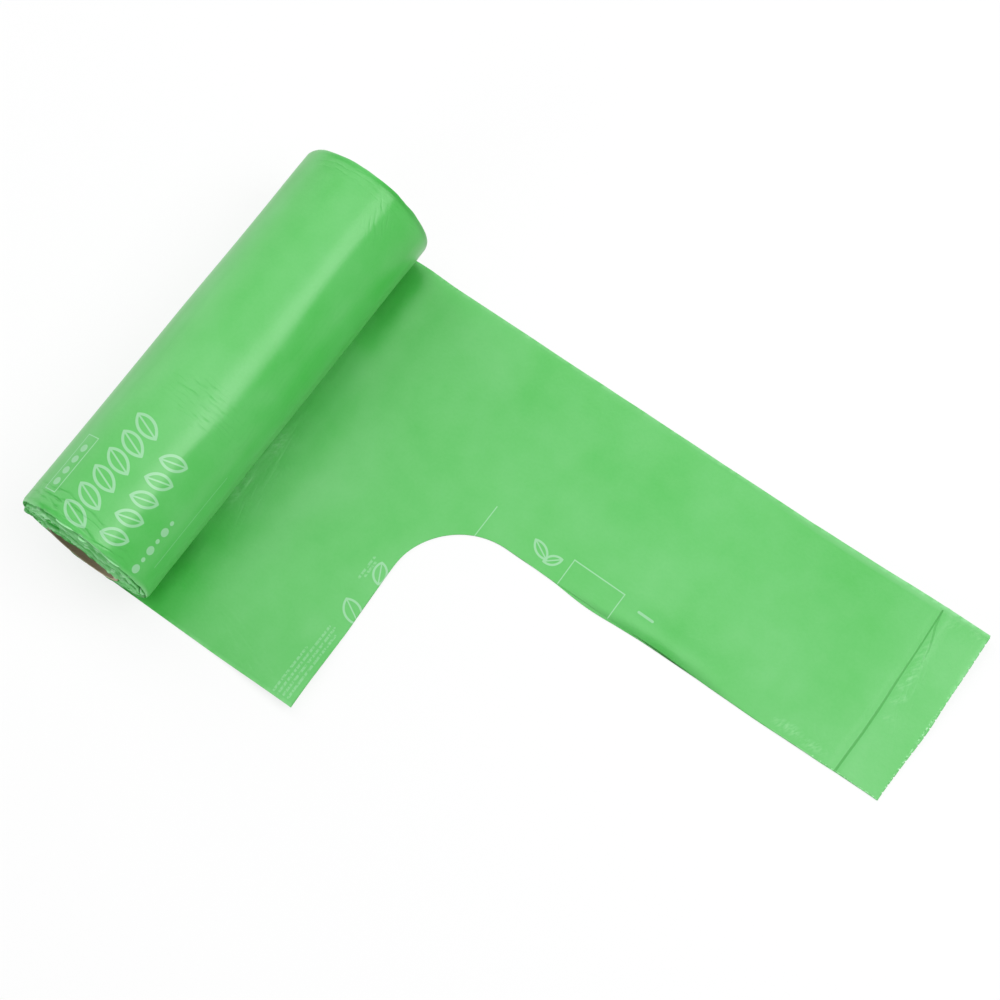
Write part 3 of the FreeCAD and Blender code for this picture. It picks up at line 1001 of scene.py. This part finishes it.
def roll_print(tree, point):
    masks = [
        row_of_leaves(tree, point, -1.2, -74.0, -32.0, 7.0, 0.35, 10.4, 5.0, 0.95),
        row_of_leaves(tree, point, 12.8, -72.5, -36.1, 7.28, -0.35, 8.8, 4.6, 0.90),
    ]
    masks += [ring(tree, point, (25.4, along), size / 2, size) for along, size in DOTS]
    masks += [bar(tree, point, a, b, 0.35) for a, b in zip(FRAME, FRAME[1:] + FRAME[:1])]
    masks += [ring(tree, point, (-14.9, along), 0.7, 1.4) for along in FRAMED_DOTS]
    hairline = bar(tree, point, (31.8, -67.5), (32.3, -31.0), 0.3)
    return any_of(tree, masks + [maths(tree, "MULTIPLY", hairline, 0.7)])


# %% Creases on the roll
def roll_creases(tree, point):
    """Height, painted shade and haze that the creases add."""
    on_crest = creases(tree, point, (9.5, -19.0), -0.02, 34.0, 20.0, 1.6, 0.0)
    far_crest = creases(tree, point, (15.0, 64.0), 0.9, 20.0, 14.0, 1.9, 5.2)
    near_rim = creases(tree, point, (-4.0, -71.0), 0.05, 60.0, 12.0, 2.6, 3.3)
    on_side = creases(tree, point, (27.0, 5.0), 1.52, 110.0, 20.0, 2.2, 6.1)
    far_rim = creases(tree, point, (8.0, 72.0), -0.04, 70.0, 9.0, 2.4, 1.7)
    lines = weighted(tree, (on_crest, 0.65), (near_rim, 1.2), (far_crest, 0.5), (far_rim, 0.35))
    # painted shade along the creases and the streaks on the side
    dark = weighted(tree, (lines, 0.03), (near_rim, 0.10), (on_side, 0.03))
    return maths(tree, "MULTIPLY", lines, -0.45), dark, 0.0


roll_film = film_material("film_on_roll", roll_print, roll_creases, 0.06)

# %% [markdown]
# ### The cut edges of the film
#
# At the ends of the roll one looks at hundreds of cut edges. They are rough and scatter
# the light, so their material is the same film with no print and no shine.
# %% Material of the cut edges
def no_print(tree, point):
    return 0.0


def no_creases(tree, point):
    return 0.0, 0.0, 0.0


edge_film = film_material("film_cut_edges", no_print, no_creases, 0.0, shine=0.0)

# %% [markdown]
# ### Print and creases on the loose bag
#
# Along the mouth the cut runs through two leaves, with rows of fine dashes beside them.
# On the handle there is an empty frame, a dash, two leaves and a hairline.
# The weld is a dark pressed line across the handle, with a small gathered fold beside it and a
# few pale creases around both. The fold's dark line is painted shade, and the pale of the creases
# is a painted highlight.
# %% Print on the loose bag
BAG_LEAVES = [                  # centre, turn, length, width
    ((75.4, -22.0), 1.1, 7.4, 4.4),
    ((75.8, -37.5), 0.5, 9.6, 5.4),
    ((113.6, 15.4), 0.5, 7.6, 3.4),
    ((118.9, 14.6), -0.7, 6.2, 3.0),
]
BAG_BARS = [                    # start, end, width
    ((124.7, 9.0), (124.7, 18.9), 0.34),
    ((124.7, 18.9), (144.8, 18.7), 0.42),
    ((144.8, 18.7), (144.7, 9.0), 0.34),
    ((151.9, 16.4), (157.3, 16.3), 0.95),
    ((93.0, 6.0), (93.2, 19.0), 0.34),
]
DASH_ROWS = [                   # start, end
    ((71.6, -73.5), (71.2, -56.0)),
    ((73.4, -73.5), (72.8, -46.0)),
    ((75.2, -73.0), (74.5, -45.5)),
    ((77.0, -73.0), (76.2, -47.5)),
    ((70.6, -27.0), (70.6, -18.5)),
    ((71.9, -25.5), (71.9, -19.5)),
]


def bag_print(tree, point):
    masks = [leaf(tree, point, *row, 0.75) for row in BAG_LEAVES]
    masks += [bar(tree, point, *row) for row in BAG_BARS]
    gaps = noise_on(tree, point, (0.55, 1.1, 0.0), detail=1.0)
    shown = maths(tree, "MULTIPLY_ADD", gaps, 6.0, -2.3, clamp=True)
    rows = any_of(tree, [bar(tree, point, *row, 0.85) for row in DASH_ROWS])
    dashes = maths(tree, "MULTIPLY", maths(tree, "MULTIPLY", rows, shown), 0.55)
    return any_of(tree, masks + [dashes])


# %% Where the weld, the folds and the creases lie
WELD = [                        # start, end, width
    ((231.7, 0.0), (232.0, 12.0), 0.85),
    ((232.0, 12.0), (232.5, 25.0), 0.85),
    ((232.5, 25.0), (232.6, 35.0), 0.85),
    ((232.6, 35.0), (232.3, 46.0), 0.75),
    ((232.3, 46.0), (232.2, 60.0), 0.60),
    ((232.2, 60.0), (231.9, 73.3), 0.55),
]
GATHERED = [                    # the same for the fold that runs off the weld
    ((231.9, 73.0), (232.8, 67.5), 0.7),
    ((232.8, 67.5), (235.0, 60.5), 0.7),
    ((235.0, 60.5), (235.6, 54.5), 0.5),
]
PALE_PATCHES = [                # centre, turn, length, width, strength
    ((234.6, 54.0), -1.62, 26, 5.0, 0.50),
    ((234.9, 46.5), -1.1, 11, 3.0, 0.50),
    ((236.0, 40.5), -0.8, 9, 4.0, 0.55),
    ((236.6, 33.5), -0.6, 8, 3.0, 0.30),
    ((237.6, 71.6), -0.9, 10, 4.0, 0.36),
    ((245.0, 72.5), 0.15, 9, 4.0, 0.40),
    ((212.0, 12.6), -0.1, 13, 5.0, 0.75),
    ((222.0, 12.2), -0.1, 12, 4.4, 0.60),
    ((20.8, -6.0), 1.45, 16, 5.0, 0.70),
    ((20.0, -26.0), 1.45, 18, 4.0, 0.60),
    ((171.0, 20.0), -0.25, 9, 1.6, 0.16),
]
FINE_CREASES = [                # centre, turn, length, width, pitch, seed, strength
    ((236, 52), 1.35, 46.0, 9.0, 1.4, 2.2, 0.4),
    ((214, 12), 0.85, 12.0, 34.0, 2.4, 4.4, 0.25),
    ((60, -68), 0.30, 60.0, 14.0, 3.0, 7.7, 0.4),
    ((24, -14), 1.45, 60.0, 10.0, 1.7, 9.1, 0.5),
]
print("pale patches:", len(PALE_PATCHES), "and patches of fine creases:", len(FINE_CREASES))


# %% Weld, gathered fold and creases on the loose bag
def pale_strokes(tree, point):
    """Pale patches broken up into strokes, painted highlights on small creases and folds, and a
    paler band along the outer edge.
    """
    patches = weighted(tree, *[(oval(tree, point, *row), strength)
                               for *row, strength in PALE_PATCHES])
    grain = noise_on(tree, turned_by(tree, point, -1.03), (0.42, 1.1, 0.0), detail=3.0)
    strokes = maths(tree, "MULTIPLY_ADD", grain, 3.2, -1.35, clamp=True)
    outer_edge = oval(tree, point, (206.0, 73.9), 0.0, 100, 3.4)
    return weighted(tree, (maths(tree, "MULTIPLY", patches, strokes), 0.62), (outer_edge, 0.30))


def ragged_bits(tree, point):
    """Bright and dark flecks along the torn end and the inner edge beside it."""
    outer_part = bar(tree, point, (248.5, 42.0), (249.0, 76.0), 0.5)
    edge = any_of(tree, [bar(tree, point, (247.8, 9.0), (248.5, 42.0), 0.5),
                         maths(tree, "MULTIPLY", outer_part, 0.35),
                         bar(tree, point, (222.0, 9.6), (249.0, 9.9), 0.35)])
    ragged = noise_on(tree, point, scale=1.25)
    bright = maths(tree, "MULTIPLY_ADD", ragged, 9.0, -4.7, clamp=True)
    dark = maths(tree, "MULTIPLY_ADD", ragged, -9.0, 4.0, clamp=True)
    return maths(tree, "MULTIPLY", edge, bright), maths(tree, "MULTIPLY", edge, dark)


def bag_creases(tree, point):
    """Height, darkness and haze that the weld, the fold and the creases add: the fold's darkness
    is painted shade, and the pale creases are painted highlights.
    """
    weld_line = any_of(tree, [bar(tree, point, *row) for row in WELD])
    gathered = any_of(tree, [bar(tree, point, *row) for row in GATHERED])
    fading = oval(tree, point, (233.5, 66), 1.5, 30, 12)
    fold = maths(tree, "MULTIPLY", gathered, fading)
    fine = weighted(tree, *[(creases(tree, point, *row), strength)
                            for *row, strength in FINE_CREASES])
    bright_bits, dark_bits = ragged_bits(tree, point)
    height = weighted(tree, (weld_line, -0.10), (fold, -0.14), (fine, -0.20))
    # the fold's darkness is painted shade; the weld's dark line is its own
    dark = weighted(tree, (weld_line, 0.21), (fold, 0.16), (dark_bits, 0.25))
    # the pale strokes and creases are painted highlights
    haze = weighted(tree, (pale_strokes(tree, point), 1.0), (fine, 0.06), (bright_bits, 0.6),
                    (weld_line, -0.20), (fold, -0.10))
    return height, dark, haze


bag_film = film_material("film_of_loose_bag", bag_print, bag_creases, 0.05)

# %% [markdown]
# ## Cardboard
#
# The tube is grey-brown paper board wound in a spiral. Its fibres run along that spiral, one thin
# dark line shows where two turns of paper meet, and one side is painted darker, a painted shade
# as on the wall in the shade of the bore.
# %% Build the cardboard material
SPIRAL_PITCH = 34.0             # mm along the tube for one turn of the paper
PAPER_DARK = (0.36, 0.295, 0.175, 1)
PAPER_LIGHT = (0.64, 0.55, 0.37, 1)
SIDE_SHADE = (0.085, 0.085, 0.035, 1)
FLECK = (0.15, 0.115, 0.065, 1)
SEAM = (0.07, 0.05, 0.03, 1)

board = bpy.data.materials.new("tube_cardboard")
board.use_nodes = True
tree = board.node_tree
shader = tree.nodes["Principled BSDF"].inputs
in_object = add_node(tree, "TexCoord", {})["Object"]
on_board = parts_of(tree, in_object)
off_axis_z = maths(tree, "SUBTRACT", on_board["Z"], AXIS_Z)
turn_angle = maths(tree, "ARCTAN2", on_board["X"], off_axis_z)
along_mm = maths(tree, "MULTIPLY", on_board["Y"], 1000.0)
spiral = maths(tree, "ADD", maths(tree, "DIVIDE", along_mm, SPIRAL_PITCH),
               maths(tree, "DIVIDE", turn_angle, 2 * math.pi))
seam_at = maths(tree, "SUBTRACT", maths(tree, "FRACT", spiral), 0.5)
seam = maths(tree, "MULTIPLY_ADD", maths(tree, "ABSOLUTE", seam_at), -60.0, 1.0, clamp=True)
fibre_point = point_from(tree, maths(tree, "MULTIPLY", spiral, 30.0),
                         maths(tree, "MULTIPLY", turn_angle, 1.6))
fibres = noise_on(tree, fibre_point, scale=2.2, detail=5.0)
flecks = noise_on(tree, in_object, scale=900.0, detail=3.0)
# painted shade: the tube darker towards one side
shade_side = maths(tree, "MULTIPLY_ADD", on_board["X"], -38.0, 0.35, clamp=True)

paper = blend(tree, fibres, PAPER_DARK, PAPER_LIGHT)
for share, amount, colour in ((shade_side, 0.75, SIDE_SHADE), (flecks, 0.30, FLECK), (seam, 0.7, SEAM)):
    paper = blend(tree, maths(tree, "MULTIPLY", share, amount), paper, colour)
feed(tree, shader["Base Color"], paper)
shader["Roughness"].default_value = 0.85
relief = add_node(tree, "Bump", {"Strength": 0.5, "Distance": 0.15 * MM,
                                 "Height": maths(tree, "SUBTRACT", fibres, seam)})
feed(tree, shader["Normal"], relief[0])
print("material:", board.name, "with", len(tree.nodes), "nodes")

# %% [markdown]
# ## Give each piece its material and its place in the frame
#
# Nothing moves here, so every piece rides on the one body. The tube stands for the CAD
# tube, and the three film pieces together stand for the CAD web. The two panels are
# sheets: their flat size is the first bag's length from under the roll to the torn end.
# %% Dress and ride
DRESS = ((tube, [board]), (roll, [roll_film, edge_film]), (upper, [bag_film]),
         (lower, [bag_film]))
for piece, materials in DRESS:
    piece.data.materials.clear()
    for material in materials:
        piece.data.materials.append(material)
    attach(piece, "root")
for face in roll.data.polygons:
    off_axis = math.hypot(face.center.x, face.center.z - AXIS_Z)
    at_end = abs(face.center.y) > HALF_W - 0.3 * MM and off_axis < ROLL_R - 0.15 * MM
    beyond = abs(face.center.y) > HALF_W + 0.5 * MM
    face.material_index = 1 if at_end or beyond else 0
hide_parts("core_tube")
for piece in (roll, upper, lower):
    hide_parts("bag_web")

# %% [markdown]
# ## Floor, light and camera
#
# The floor is a plain pale plane. In a product picture it comes out white, so what the
# camera and the shine of the film see of it is mostly a white glow. A part of its matt
# paint stays in that mix, and with it the object's soft shadow.
# %% Floor
GLOW_SHARE = 0.82
FLOOR_DROP = 0.2 * MM           # a hair below the film, which lies at z = 0

start_fresh()
bpy.ops.mesh.primitive_plane_add(size=60.0, location=(0.09, 0.02, -FLOOR_DROP))
floor = keep_as("floor")
floor_paint = bpy.data.materials.new("floor_paint")
floor_paint.use_nodes = True
tree = floor_paint.node_tree
matt = tree.nodes["Principled BSDF"]
matt.inputs["Base Color"].default_value = (0.90, 0.90, 0.90, 1)
matt.inputs["Roughness"].default_value = 0.9
white = add_node(tree, "Emission", {"Strength": 1.0})
rays = add_node(tree, "LightPath", {})
seen = any_of(tree, [rays["Is Camera Ray"], rays["Is Glossy Ray"], rays["Is Transmission Ray"]])
glow = maths(tree, "MULTIPLY", seen, GLOW_SHARE)
mixed = add_node(tree, "MixShader", {0: glow, 1: matt.outputs[0], 2: white[0]})
tree.links.new(mixed[0], tree.nodes["Material Output"].inputs["Surface"])
floor.data.materials.append(floor_paint)
print("floor:", floor.dimensions.x, "m wide")

# %% [markdown]
# ### Lamps
#
# Five soft lamps give the plain light of a product picture. Film shows lamps as pale
# bands along the roll, so their places follow from the bands: one overhead and one at
# the left for the even pale side, one at the upper right for the bright band that ends
# at the crest, a weak one low at the right, and one for the near end.
# %% Lamps and world
def soft_lamp(name, place, aim, width, depth, power):
    lamp = bpy.data.lights.new(name, "AREA")
    lamp.shape = "RECTANGLE"
    lamp.size = width
    lamp.size_y = depth
    lamp.energy = power
    holder = bpy.data.objects.new(name, lamp)
    bpy.context.scene.collection.objects.link(holder)
    holder.location = place
    holder.rotation_euler = (Vector(aim) - Vector(place)).to_track_quat("-Z", "Y").to_euler()


LAMPS = [                       # name, place, aim, width, depth, power
    ("overhead_lamp", (-0.16, 0.21, 0.95), (-0.16, 0.21, 0.0), 0.92, 0.62, 3.7),
    ("band_lamp", (0.559, 0.20, 0.854), (0.0, 0.20, 0.025), 0.66, 0.57, 5.5),
    ("left_lamp", (-1.04, 0.26, 0.625), (0.0, 0.26, 0.025), 0.52, 1.15, 4.0),
    ("right_lamp", (1.2, 0.10, 0.45), (0.0, 0.10, 0.025), 1.2, 0.8, 1.4),
    ("front_lamp", (-0.3, -1.2, 0.45), (0.0, 0.0, 0.02), 0.9, 0.6, 4.7),
]
for row in LAMPS:
    soft_lamp(*row)

world = bpy.context.scene.world or bpy.data.worlds.new("World")
bpy.context.scene.world = world
world.use_nodes = True
sky = world.node_tree.nodes["Background"].inputs
sky["Color"].default_value = (0.97, 0.98, 1.0, 1)
sky["Strength"].default_value = 0.22
print("lamps:", len(LAMPS))

# %% [markdown]
# ### Camera
#
# The camera's place comes from matching the outline of the roll and the bag to the
# picture: it looks steeply down, a little from the right, and is turned by a degree.
# %% Camera
AZIMUTH, ELEVATION, ROLL = (math.radians(a) for a in (36.824, 71.892, -1.243))
TARGET = Vector((92.501, 21.631, 0.0)) * MM
DISTANCE = 684.502 * MM

back = Vector((math.sin(AZIMUTH) * math.cos(ELEVATION), -math.cos(AZIMUTH) * math.cos(ELEVATION),
               math.sin(ELEVATION)))
right = Vector((0, 0, 1)).cross(back).normalized()
up = back.cross(right)
tilted_right = right * math.cos(ROLL) + up * math.sin(ROLL)
tilted_up = up * math.cos(ROLL) - right * math.sin(ROLL)
eye = bpy.data.cameras.new("camera")
eye.lens = 74.231
eye.sensor_width = 36.0
eye.clip_start = 0.01
camera = bpy.data.objects.new("camera", eye)
bpy.context.scene.collection.objects.link(camera)
turn_matrix = Matrix((tilted_right, tilted_up, back)).transposed()
camera.matrix_world = Matrix.Translation(TARGET + back * DISTANCE) @ turn_matrix.to_4x4()
bpy.context.scene.camera = camera
bpy.context.scene.view_settings.view_transform = "Standard"
print("camera at", [round(v, 3) for v in camera.location])
